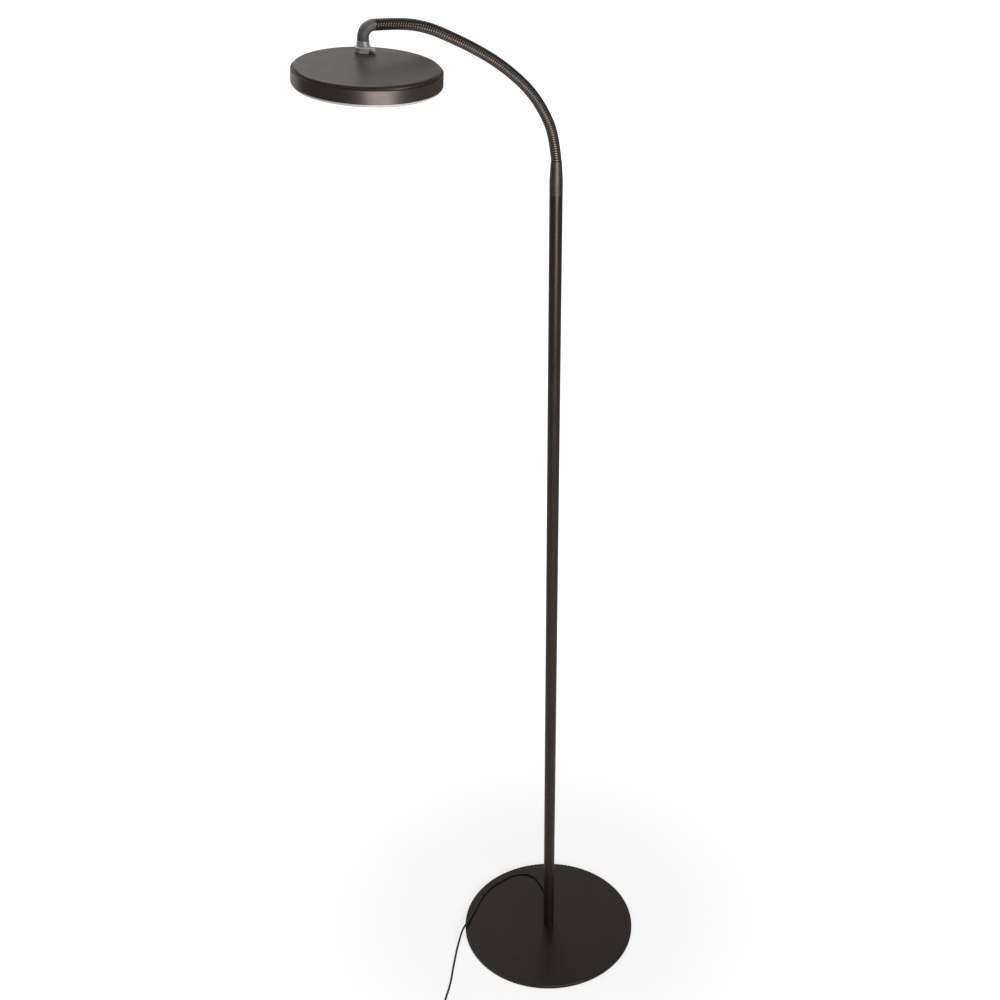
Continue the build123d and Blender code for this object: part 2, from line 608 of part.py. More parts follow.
HEAD_LEAD_END = NUT_SPOT + TERMINAL_WAY * (TERMINAL_REACH - TERMINAL_LENGTH / 2)
with BuildPart() as head_lead:
    with BuildLine():
        FilletPolyline(
            HEAD_PLANE.from_local_coords(Vector(NUT_SPOT.X, NUT_SPOT.Y, STUD_BOTTOM + HEAD_LEAD_INSERT)),
            HEAD_PLANE.from_local_coords(Vector(NUT_SPOT.X, NUT_SPOT.Y, HEAD_LEAD_LEVEL)),
            HEAD_PLANE.from_local_coords(Vector(HEAD_LEAD_END.X, HEAD_LEAD_END.Y, HEAD_LEAD_LEVEL)),
            radius=HEAD_LEAD_BEND,
        )
    with BuildSketch(HEAD_PLANE.offset(STUD_BOTTOM + HEAD_LEAD_INSERT)):
        with Locations(NUT_SPOT):
            Circle(LEAD_RADIUS)
    sweep()
finish(head_lead.part, "head_lead")

with BuildPart() as diffuser:
    with BuildSketch(PROFILE_PLANE):
        with BuildLine():
            Line((0, DIFFUSER_BOTTOM), (DIFFUSER_RADIUS - DIFFUSER_ROUND, DIFFUSER_BOTTOM))
            TangentArc(
                (DIFFUSER_RADIUS - DIFFUSER_ROUND, DIFFUSER_BOTTOM),
                (DIFFUSER_RADIUS, DIFFUSER_BOTTOM + DIFFUSER_ROUND),
                tangent=(1, 0),
            )
            Polyline(
                (DIFFUSER_RADIUS, DIFFUSER_BOTTOM + DIFFUSER_ROUND),
                (DIFFUSER_RADIUS, DIFFUSER_TOP),
                (DIFFUSER_RADIUS - DIFFUSER_WALL, DIFFUSER_TOP),
                (DIFFUSER_RADIUS - DIFFUSER_WALL, DIFFUSER_BOTTOM + DIFFUSER_WALL),
                (0, DIFFUSER_BOTTOM + DIFFUSER_WALL),
                (0, DIFFUSER_BOTTOM),
            )
        make_face()
    revolve(axis=HEAD_AXIS)
finish(diffuser.part, "diffuser")

# ---------------------------------------------------------------- lead inside the pole
LEAD_MOUTH = EXIT_DIRECTION * (POLE_RADIUS + GROMMET_LENGTH) + Vector(0, 0, EXIT_HEIGHT)

with BuildPart() as pole_lead:
    with BuildLine():
        FilletPolyline(
            LEAD_MOUTH,
            Vector(0, 0, EXIT_HEIGHT),
            Vector(0, 0, FERRULE_TOP - SOCKET_DEPTH / 2),
            radius=POLE_LEAD_BEND,
        )
    with BuildSketch(Plane(origin=LEAD_MOUTH, z_dir=-EXIT_DIRECTION)):
        Circle(LEAD_RADIUS)
    sweep()
finish(pole_lead.part, "pole_lead")

# ---------------------------------------------------------------- free lead
START_ANGLE = radians(COIL_START_ANGLE)
COIL_MIDDLE = Vector(*COIL_CENTRE)


def coil_spot(half_turn, radius, height):
    """Place and heading on the coil after a number of half turns."""
    angle = START_ANGLE + pi * half_turn
    outward = Vector(cos(angle), sin(angle), 0)
    return COIL_MIDDLE + outward * radius + Vector(0, 0, height), Vector(-sin(angle), cos(angle), 0)


def coil_stations():
    """Half-turn stations: in on the floor, up one layer where the spiral reverses, out on top."""
    outer = COIL_MEAN_RADIUS + COIL_HALF_TURNS * COIL_PITCH / 4
    inner = COIL_MEAN_RADIUS - COIL_HALF_TURNS * COIL_PITCH / 4
    stations = [
        coil_spot(i, outer - i * COIL_PITCH / 2, LEAD_ON_FLOOR) for i in range(COIL_HALF_TURNS + 1)
    ]
    for i in range(COIL_HALF_TURNS + 2):
        stations.append(
            coil_spot(COIL_HALF_TURNS + 1 + i, inner + i * COIL_PITCH / 2, LEAD_ON_FLOOR + COIL_PITCH)
        )
    return stations


COIL_STATIONS = coil_stations()
COIL_ENTRY, ENTRY_HEADING = COIL_STATIONS[0]
COIL_EXIT, EXIT_HEADING = COIL_STATIONS[-1]

# From the grommet down to the base, over its rim at the back and across the floor: x, y and the
# height above the base's top or, past the rim, above the floor.
ON_BASE = [
    (20.5, 37.5, 13.0),
    (28.0, 54.5, 4.9),
    (32.5, 74.0, 1.1),
    (33.5, 93.0, 0.1),
    (25.5, 109.5, 0.2),
    (9.0, 117.5, 0.1),
    (-13.0, 117.0, 0.2),
    (-36.5, 113.5, 0.1),
    (-59.5, 103.0, 0.2),
    (-80.0, 86.5, 0.3),
    (-97.5, 72.5, 1.5),
    (-113.0, 61.0, 3.7),
    (-125.0, 53.0, 3.3),
]
ON_FLOOR = [
    (-136.0, 42.5, 3.9),
    (-147.0, 31.0, 0.1),
    (-159.0, 15.5, 0.2),
    (-172.0, -1.0, 0.1),
    (-182.5, -15.5, 0.2),
    (-193.5, -29.0, 0.1),
    (-206.5, -42.5, 0.2),
    (-221.0, -59.0, 0.1),
]
ROUTE = [
    LEAD_MOUTH,
    LEAD_MOUTH + EXIT_DIRECTION * EXIT_RUN,
    *[Vector(x, y, BASE_TOP + LEAD_RADIUS + gap) for x, y, gap in ON_BASE],
    *[Vector(x, y, LEAD_RADIUS + gap) for x, y, gap in ON_FLOOR],
    COIL_ENTRY - ENTRY_HEADING * (LEAD_DIAMETER + COIL_ENTRY_RUN),
    COIL_ENTRY - ENTRY_HEADING * LEAD_DIAMETER,
]


def bend_radii(points):
    """The largest even bend at each inner point of a route that its two runs allow."""
    radii = []
    for before, here, after in zip(points, points[1:], points[2:]):
        arriving = here - before
        leaving = after - here
        half_turn = radians(arriving.get_angle(leaving)) / 2
        radii.append(BEND_SHARE * min(arriving.length, leaving.length) / tan(half_turn))
    return radii


def lead_tube(points, name):
    """A round tube along a route of straight runs and even bends."""
    radii = bend_radii(points)
    print(name, "bend radii", [round(r, 1) for r in radii])
    heading = (points[1] - points[0]).normalized()
    with BuildPart() as tube:
        with BuildLine() as path:
            FilletPolyline(*points, radius=radii)
        with BuildSketch(Plane(origin=points[0], z_dir=heading)):
            Circle(LEAD_RADIUS)
        sweep()
    length = path.wires()[0].length
    share = tube.part.volume / (pi * LEAD_RADIUS**2 * length)
    print(name, "length", round(length, 1), "volume over section times length", round(share, 4))
    finish(tube.part, name)


lead_tube(ROUTE, "lead")

# ---------------------------------------------------------------- coil of the put-away lead
def biarc(start, heading, end, end_heading):
    """Two tangent arcs from one place and heading to another, as their middle point and its heading."""
    across = end - start
    both = across.dot(heading + end_heading)
    spread = 2 * (1 - heading.dot(end_heading))
    reach = (sqrt(both**2 + spread * across.dot(across)) - both) / spread
    left, right = start + heading * reach, end - end_heading * reach
    return (left + right) / 2, (right - left).normalized()


with BuildPart() as lead_coil:
    with BuildLine() as coil_path:
        Line(COIL_ENTRY - ENTRY_HEADING * LEAD_DIAMETER, COIL_ENTRY)
        for (spot, heading), (next_spot, next_heading) in zip(COIL_STATIONS, COIL_STATIONS[1:]):
            middle, middle_heading = biarc(spot, heading, next_spot, next_heading)
            TangentArc(spot, middle, tangent=heading)
            TangentArc(middle, next_spot, tangent=middle_heading)
        Line(COIL_EXIT, COIL_EXIT + EXIT_HEADING * LEAD_DIAMETER)
    with BuildSketch(Plane(origin=COIL_ENTRY - ENTRY_HEADING * LEAD_DIAMETER, z_dir=ENTRY_HEADING)):
        RegularPolygon(LEAD_RADIUS, COIL_SIDES)
    sweep()
finish(lead_coil.part, "lead_coil")


def least_gap(wire):
    """Least clear distance of a wound tube to itself, on points along its centreline."""
    count = int(wire.length / GAP_STEP)
    points = [tuple(wire.position_at(i / count)) for i in range(count + 1)]
    skip = int(2 * pi * LEAD_DIAMETER / GAP_STEP)
    gaps = [dist(here, there) for i, here in enumerate(points) for there in points[i + skip :]]
    return min(gaps) - LEAD_DIAMETER


COIL_WIRE = coil_path.wires()[0]
print("coil length", round(COIL_WIRE.length, 1), "gap to itself", round(least_gap(COIL_WIRE), 2))

# ---------------------------------------------------------------- plug-in power adapter
ADAPTER_HEADING = Vector(cos(radians(ADAPTER_ANGLE)), sin(radians(ADAPTER_ANGLE)), 0)
RELIEF_ROOT = Vector(*ADAPTER_INLET)
RELIEF_TIP = RELIEF_ROOT - ADAPTER_HEADING * RELIEF_LENGTH
ADAPTER_MIDDLE = Vector(RELIEF_ROOT.X, RELIEF_ROOT.Y, 0) + ADAPTER_HEADING * (ADAPTER_LENGTH / 2)
ADAPTER_PLANE = Plane(origin=ADAPTER_MIDDLE, x_dir=ADAPTER_HEADING, z_dir=(0, 0, 1))
FACE_PLANE = Plane(
    origin=ADAPTER_PLANE.from_local_coords(Vector(PIN_FACE_SHIFT, -ADAPTER_WIDTH / 2, ADAPTER_HEIGHT / 2)),
    x_dir=ADAPTER_HEADING,
    z_dir=-ADAPTER_PLANE.y_dir,
)

with BuildPart() as adapter_body:
    with BuildSketch(ADAPTER_PLANE):
        RectangleRounded(ADAPTER_LENGTH, ADAPTER_WIDTH, ADAPTER_ROUND)
    extrude(amount=ADAPTER_HEIGHT)
    fillet(adapter_body.faces().sort_by(Axis.Z)[-1].edges(), ADAPTER_TOP_ROUND)
    with BuildSketch(FACE_PLANE):
        RectangleRounded(PIN_FACE_LENGTH, PIN_FACE_HEIGHT, PIN_FACE_ROUND)
    extrude(amount=PIN_FACE_DEPTH)
    with BuildSketch(Plane(origin=RELIEF_ROOT, z_dir=ADAPTER_HEADING)):
        Circle(RELIEF_PLUG_RADIUS + FIT_CLEARANCE)
    extrude(amount=RELIEF_PLUG_DEPTH, mode=Mode.SUBTRACT)
finish(adapter_body.part, "adapter_body")

with BuildPart() as adapter_pins:
    with BuildSketch(FACE_PLANE.offset(PIN_FACE_DEPTH)):
        with GridLocations(PIN_SPACING, 1, 2, 1):
            Circle(PIN_RADIUS)
    extrude(amount=PIN_LENGTH)
    chamfer(adapter_pins.edges().group_by(Axis(FACE_PLANE.origin, FACE_PLANE.z_dir))[-1], PIN_TIP)
finish(adapter_pins.part, "adapter_pins")

with BuildPart() as adapter_relief:
    with BuildSketch(Plane(origin=RELIEF_TIP, z_dir=ADAPTER_HEADING)):
        Circle(RELIEF_TIP_RADIUS)
    with BuildSketch(Plane(origin=RELIEF_ROOT, z_dir=ADAPTER_HEADING)):
        Circle(RELIEF_ROOT_RADIUS)
    loft()
    with BuildSketch(Plane(origin=RELIEF_ROOT, z_dir=ADAPTER_HEADING)):
        Circle(RELIEF_PLUG_RADIUS)
    extrude(amount=RELIEF_PLUG_DEPTH - SEAT_CLEARANCE)
finish(adapter_relief.part, "adapter_relief")

# ---------------------------------------------------------------- lead from the coil to the adapter
TAIL_START = COIL_EXIT + EXIT_HEADING * LEAD_DIAMETER
TAIL_ROUTE = [
    TAIL_START,
    TAIL_START + EXIT_HEADING * COIL_EXIT_RUN,
    Vector(-268.5, -99.0, LEAD_RADIUS + 2.6),
    Vector(-279.0, -108.5, LEAD_RADIUS + 0.5),
    Vector(-290.0, -118.5, LEAD_RADIUS + 0.8),
    Vector(-300.0, -130.0, LEAD_RADIUS + 3.0),
    RELIEF_TIP - ADAPTER_HEADING * RELIEF_RUN,
    RELIEF_TIP,
]
lead_tube(TAIL_ROUTE, "lead_tail")
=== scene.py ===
import json
import math

import bpy
import bmesh
from mathutils import Matrix, Vector


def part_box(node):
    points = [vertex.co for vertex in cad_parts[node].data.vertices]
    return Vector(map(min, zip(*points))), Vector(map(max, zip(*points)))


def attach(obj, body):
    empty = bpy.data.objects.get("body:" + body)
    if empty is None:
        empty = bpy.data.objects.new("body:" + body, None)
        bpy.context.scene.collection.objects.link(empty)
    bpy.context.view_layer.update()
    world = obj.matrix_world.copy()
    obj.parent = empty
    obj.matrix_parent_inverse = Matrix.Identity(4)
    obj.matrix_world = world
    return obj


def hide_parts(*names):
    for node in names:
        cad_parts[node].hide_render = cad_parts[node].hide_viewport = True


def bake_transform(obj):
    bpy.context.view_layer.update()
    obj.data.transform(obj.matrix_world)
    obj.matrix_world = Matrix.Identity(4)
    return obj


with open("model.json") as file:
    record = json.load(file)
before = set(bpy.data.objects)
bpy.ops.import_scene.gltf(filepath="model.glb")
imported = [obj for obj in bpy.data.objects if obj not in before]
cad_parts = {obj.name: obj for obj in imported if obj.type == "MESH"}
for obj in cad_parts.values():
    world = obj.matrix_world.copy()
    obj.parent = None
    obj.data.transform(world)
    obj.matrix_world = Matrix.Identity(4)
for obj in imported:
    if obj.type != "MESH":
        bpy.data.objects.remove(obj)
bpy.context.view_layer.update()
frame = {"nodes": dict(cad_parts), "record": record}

# ---------------------------------------------------------------- places, in metres
MM = 0.001

# The neck's bends: how far each of its stretches leans from upright, in degrees.
NECK_LEANS = [6.6, 23.9, 33.7, 44.7, 50.8, 56.6, 60.2, 62.6, 74.9, 85.6]
NECK_STRETCH = 32.3 * MM
NECK_RADIUS = 6.3 * MM
NECK_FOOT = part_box("ferrule")[1][2]
NECK_SIDES = 32
NECK_LINE_STEPS = 32
RIB_PITCH = 2.95 * MM
RIB_DEPTH = 0.50 * MM
RINGS_PER_RIB = 8
GROOVE_SHARPNESS = 3.0
LENGTH_STEPS = 64

LEAD_RADIUS = 1.5 * MM
LEAD_LINE_STEPS = 10
LEAD_ROUNDNESS = 5
FLOOR_GAP = 0.1 * MM
BASE_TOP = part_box("base_plate")[1][2]

# The lead leaves the pole's grommet here, heading outwards.
MOUTH_HEIGHT = 25 * MM
MOUTH_REACH = 12.5 * MM
MOUTH_RUN = 12 * MM
MOUTH_ANGLE = math.radians(62)

# Places on the lead's way, in mm: x, y and its gap to the base or the floor under it.
WAY_OVER_BASE = [
    (20.5, 37.5, 13.0), (28.0, 54.5, 4.9), (32.5, 74.0, 1.1), (33.5, 93.0, 0.1), (25.5, 109.5, 0.2),
    (9.0, 117.5, 0.1), (-13.0, 117.0, 0.2), (-36.5, 113.5, 0.1), (-59.5, 103.0, 0.2),
    (-80.0, 86.5, 0.3), (-97.5, 72.5, 1.5), (-113.0, 61.0, 3.7), (-125.0, 53.0, 3.3),
]
WAY_OVER_FLOOR = [
    (-136.0, 42.5, 3.9), (-147.0, 31.0, 0.1), (-159.0, 15.5, 0.2), (-172.0, -1.0, 0.1),
    (-182.5, -15.5, 0.2), (-193.5, -29.0, 0.1), (-206.5, -42.5, 0.2), (-221.0, -59.0, 0.1),
]
WAY_TO_ADAPTER = [
    (-268.5, -99.0, 2.6), (-279.0, -108.5, 0.5), (-290.0, -118.5, 0.8), (-300.0, -130.0, 3.0),
]

# The put-away coil: turns in on the floor, and as many out again on top of them.
COIL_CENTRE = Vector((-0.231, -0.1005, 0))
COIL_START = math.radians(132)
COIL_MEAN_RADIUS = 18 * MM
COIL_PITCH = 4.1 * MM
COIL_HALF_TURNS = 8
COIL_POINTS_PER_HALF = 6
COIL_SPREAD = COIL_HALF_TURNS * COIL_PITCH / 4
COIL_ENTRY_RUN = 17 * MM
COIL_TOUCH_RUN = 3 * MM
COIL_EXIT_RUN = 14 * MM

ADAPTER_INLET = Vector((-328.5, -160.1, 8.0)) * MM
ADAPTER_ANGLE = math.radians(229)
RELIEF_LENGTH = 16 * MM
RELIEF_RUN = 11 * MM


def lean(angle):
    """Unit vector in the neck's plane, leaning so many degrees from upright towards -X."""
    return Vector((-math.sin(math.radians(angle)), 0, math.cos(math.radians(angle))))


# ---------------------------------------------------------------- materials
WHITE = (1, 1, 1, 1)
BRONZE_SHEEN = (1.0, 0.82, 0.74, 1)

# How far the skin of each kind of finish rises and falls, in metres.
ENAMEL_SKIN = 0.00012
LATHE_SKIN = 0.00006
NECK_SKIN = 0.0001
MOULDED_SKIN = 0.00015


class Recipe:
    """A material's nodes, added one by one."""

    def __init__(self, name):
        self.material = bpy.data.materials.new(name)
        self.material.use_nodes = True
        self.nodes = self.material.node_tree.nodes
        self.links = self.material.node_tree.links
        self.shader = self.nodes["Principled BSDF"]
        self.place = self.add("ShaderNodeTexCoord").outputs["Object"]

    def add(self, kind, **settings):
        node = self.nodes.new(kind)
        for key, value in settings.items():
            setattr(node, key, value)
        return node

    def surface(self, **values):
        for key, value in values.items():
            self.shader.inputs[key.replace("_", " ")].default_value = value

    def stretch(self, scale):
        mapping = self.add("ShaderNodeMapping")
        mapping.inputs["Scale"].default_value = scale
        self.links.new(self.place, mapping.inputs["Vector"])
        return mapping.outputs["Vector"]

    def noise(self, scale, detail, roughness, vector=None):
        node = self.add("ShaderNodeTexNoise")
        node.inputs["Scale"].default_value = scale
        node.inputs["Detail"].default_value = detail
        node.inputs["Roughness"].default_value = roughness
        self.links.new(vector or self.place, node.inputs["Vector"])
        return node.outputs["Fac"]

    def spread(self, source, low, high, start=0.3, end=0.7):
        node = self.add("ShaderNodeMapRange")
        node.inputs["From Min"].default_value = start
        node.inputs["From Max"].default_value = end
        node.inputs["To Min"].default_value = low
        node.inputs["To Max"].default_value = high
        self.links.new(source, node.inputs["Value"])
        return node.outputs["Result"]

    def tint(self, source, dark, light, start=0.3, end=0.7):
        node = self.add("ShaderNodeValToRGB")
        node.color_ramp.elements[0].position = start
        node.color_ramp.elements[0].color = (*dark, 1)
        node.color_ramp.elements[1].position = end
        node.color_ramp.elements[1].color = (*light, 1)
        self.links.new(source, node.inputs["Fac"])
        return node.outputs["Color"]

    def attribute(self, name):
        return self.add("ShaderNodeAttribute", attribute_name=name).outputs["Fac"]

    def bump(self, source, strength, distance):
        node = self.add("ShaderNodeBump")
        node.inputs["Strength"].default_value = strength
        node.inputs["Distance"].default_value = distance
        self.links.new(source, node.inputs["Height"])
        self.links.new(node.outputs["Normal"], self.shader.inputs["Normal"])

    def feed(self, source, socket):
        self.links.new(source, self.shader.inputs[socket])


def enamel(name, dark, light, gloss, grain=0.05, shine=0.5):
    """Baked bronze paint on steel: slight colour drift, uneven gloss and a fine orange-peel skin."""
    recipe = Recipe(name)
    recipe.surface(Metallic=0.0, IOR=1.5, Specular_IOR_Level=shine, Specular_Tint=BRONZE_SHEEN)
    drift = recipe.noise(14, 4, 0.6)
    flake = recipe.noise(2600, 2, 0.5)
    recipe.feed(recipe.tint(drift, dark, light), "Base Color")
    recipe.feed(recipe.spread(recipe.noise(60, 3, 0.6), *gloss), "Roughness")
    recipe.bump(flake, grain, ENAMEL_SKIN)
    return recipe.material


def turned_metal(name, dark, light, gloss, lines=(4, 4, 5200), depth=0.12, metallic=1.0):
    """Metal finished on a lathe or with a belt: fine lines round or along the piece."""
    recipe = Recipe(name)
    recipe.surface(Metallic=metallic)
    grooves = recipe.noise(1, 4, 0.65, recipe.stretch(lines))
    recipe.feed(recipe.tint(recipe.noise(40, 4, 0.6), dark, light), "Base Color")
    recipe.feed(recipe.spread(grooves, *gloss), "Roughness")
    recipe.bump(grooves, depth, LATHE_SKIN)
    return recipe.material


def neck_metal():
    """Dark bronze plating on the wound neck, bright on the crests; the grooves are dull, and their dark
    colour is painted shade.
    """
    recipe = Recipe("neck_bronze_plating")
    recipe.surface(Metallic=0.82)
    crest = recipe.attribute("crest")
    wear = recipe.noise(900, 4, 0.65)
    mixed = recipe.add("ShaderNodeMath", operation="MULTIPLY")
    recipe.links.new(crest, mixed.inputs[0])
    recipe.links.new(recipe.spread(wear, 0.75, 1.15), mixed.inputs[1])
    # The groove colour is painted shade: the grooves are darkened where less light would reach them.
    groove_painted_shade, crest_tint = (0.022, 0.017, 0.015), (0.125, 0.100, 0.090)
    plating_and_groove_shade = recipe.tint(mixed.outputs[0], groove_painted_shade, crest_tint, start=0.15, end=0.98)
    recipe.feed(plating_and_groove_shade, "Base Color")
    recipe.feed(recipe.spread(mixed.outputs[0], 0.6, 0.18, start=0.1, end=0.95), "Roughness")
    recipe.bump(wear, 0.06, NECK_SKIN)
    return recipe.material


def moulded(name, dark, light, gloss, speck, depth, **values):
    """Moulded plastic or rubber with a fine spark-eroded skin."""
    recipe = Recipe(name)
    recipe.surface(**values)
    skin = recipe.noise(speck, 3, 0.6)
    recipe.feed(recipe.tint(recipe.noise(35, 3, 0.5), dark, light), "Base Color")
    recipe.feed(recipe.spread(skin, *gloss), "Roughness")
    recipe.bump(skin, depth, MOULDED_SKIN)
    return recipe.material


FINISHES = {
    "bronze_paint": enamel(
        "dark_bronze_enamel", dark=(0.0085, 0.0056, 0.0040), light=(0.0130, 0.0086, 0.0062),
        gloss=(0.26, 0.34),
    ),
    "head_bronze": enamel(
        "head_bronze_enamel", dark=(0.0150, 0.0110, 0.0092), light=(0.0200, 0.0150, 0.0126),
        gloss=(0.34, 0.40), grain=0.06, shine=0.8,
    ),
    "ferrule_bronze": turned_metal(
        "ferrule_satin_bronze", dark=(0.066, 0.052, 0.046), light=(0.098, 0.079, 0.070),
        gloss=(0.36, 0.48), metallic=0.75,
    ),
    "neck_bronze": neck_metal(),
    "satin_nickel": turned_metal(
        "elbow_satin_nickel", dark=(0.205, 0.199, 0.201), light=(0.235, 0.227, 0.230),
        gloss=(0.50, 0.58), lines=(30, 30, 30), depth=0.04, metallic=0.4,
    ),
    "chrome": turned_metal(
        "bright_chrome", dark=(0.74, 0.74, 0.74), light=(0.82, 0.82, 0.82),
        gloss=(0.36, 0.42), lines=(60, 60, 60), depth=0.01, metallic=0.75,
    ),
    "zinc_steel": turned_metal(
        "zinc_plated_steel", dark=(0.42, 0.44, 0.47), light=(0.56, 0.57, 0.58),
        gloss=(0.30, 0.45), lines=(60, 60, 900), depth=0.08,
    ),
    "plate_aluminium": turned_metal(
        "mill_aluminium", dark=(0.62, 0.63, 0.64), light=(0.74, 0.75, 0.76),
        gloss=(0.34, 0.50), lines=(500, 6, 6), depth=0.10,
    ),
    "plated_brass": turned_metal(
        "nickel_plated_brass", dark=(0.55, 0.53, 0.48), light=(0.66, 0.64, 0.58),
        gloss=(0.16, 0.26), lines=(40, 40, 40), depth=0.03,
    ),
    "rubber_black": moulded(
        "black_rubber", dark=(0.011, 0.010, 0.010), light=(0.018, 0.017, 0.016),
        gloss=(0.42, 0.58), speck=2200, depth=0.15,
    ),
    "nylon": moulded(
        "natural_nylon", dark=(0.60, 0.59, 0.54), light=(0.68, 0.67, 0.62),
        gloss=(0.40, 0.52), speck=900, depth=0.08,
    ),
    "led_phosphor": moulded(
        "led_phosphor", dark=(0.70, 0.55, 0.12), light=(0.78, 0.63, 0.18),
        gloss=(0.35, 0.45), speck=1500, depth=0.10,
    ),
    "opal": moulded(
        "opal_diffuser", dark=(0.54, 0.49, 0.48), light=(0.60, 0.55, 0.54),
        gloss=(0.34, 0.42), speck=1400, depth=0.03, Subsurface_Weight=0.25, Subsurface_Scale=0.004,
    ),
    "adapter_plastic": moulded(
        "adapter_black_plastic", dark=(0.010, 0.010, 0.011), light=(0.016, 0.016, 0.017),
        gloss=(0.45, 0.62), speck=1100, depth=0.35,
    ),
}

# The nut and its set screw get a near-white, barely metallic colour, a painted reflection of bright
# surroundings, unlike the duller plating of the collar in the same slot.
NUT_PAINTED_REFLECTION = turned_metal(
    "bright_swivel_nut", dark=(0.92, 0.92, 0.92), light=(0.96, 0.96, 0.96),
    gloss=(0.20, 0.28), lines=(60, 60, 60), depth=0.01, metallic=0.2,
)
OWN_FINISHES = {"swivel_nut": NUT_PAINTED_REFLECTION, "swivel_set_screw": NUT_PAINTED_REFLECTION}


def paint_nodes():
    """Every solid of the frame gets its own finish, or that of its slot."""
    for part in frame["record"]["subparts"]:
        node = frame["nodes"][part["node"]]
        node.data.materials.clear()
        node.data.materials.append(OWN_FINISHES.get(part["node"], FINISHES[part["material_slot"]]))


# ---------------------------------------------------------------- wound neck
def neck_controls():
    """Control points of the neck's centreline: its foot and each place where it bends."""
    points = [Vector((0, 0, NECK_FOOT))]
    for angle in NECK_LEANS:
        points.append(points[-1] + lean(angle) * NECK_STRETCH)
    return points


def spline_object(name, points, steps, radius=0.0):
    """A curve on one smooth open spline with these control points, round and solid if it has a radius."""
    curve = bpy.data.curves.new(name, "CURVE")
    curve.dimensions = "3D"
    curve.resolution_u = steps
    curve.bevel_depth = radius
    curve.bevel_resolution = LEAD_ROUNDNESS
    curve.use_fill_caps = True
    spline = curve.splines.new("NURBS")
    spline.points.add(len(points) - 1)
    for control, point in zip(spline.points, points):
        control.co = (*point, 1)
    spline.order_u = 3
    spline.use_endpoint_u = True
    thing = bpy.data.objects.new(name, curve)
    bpy.context.scene.collection.objects.link(thing)
    return thing


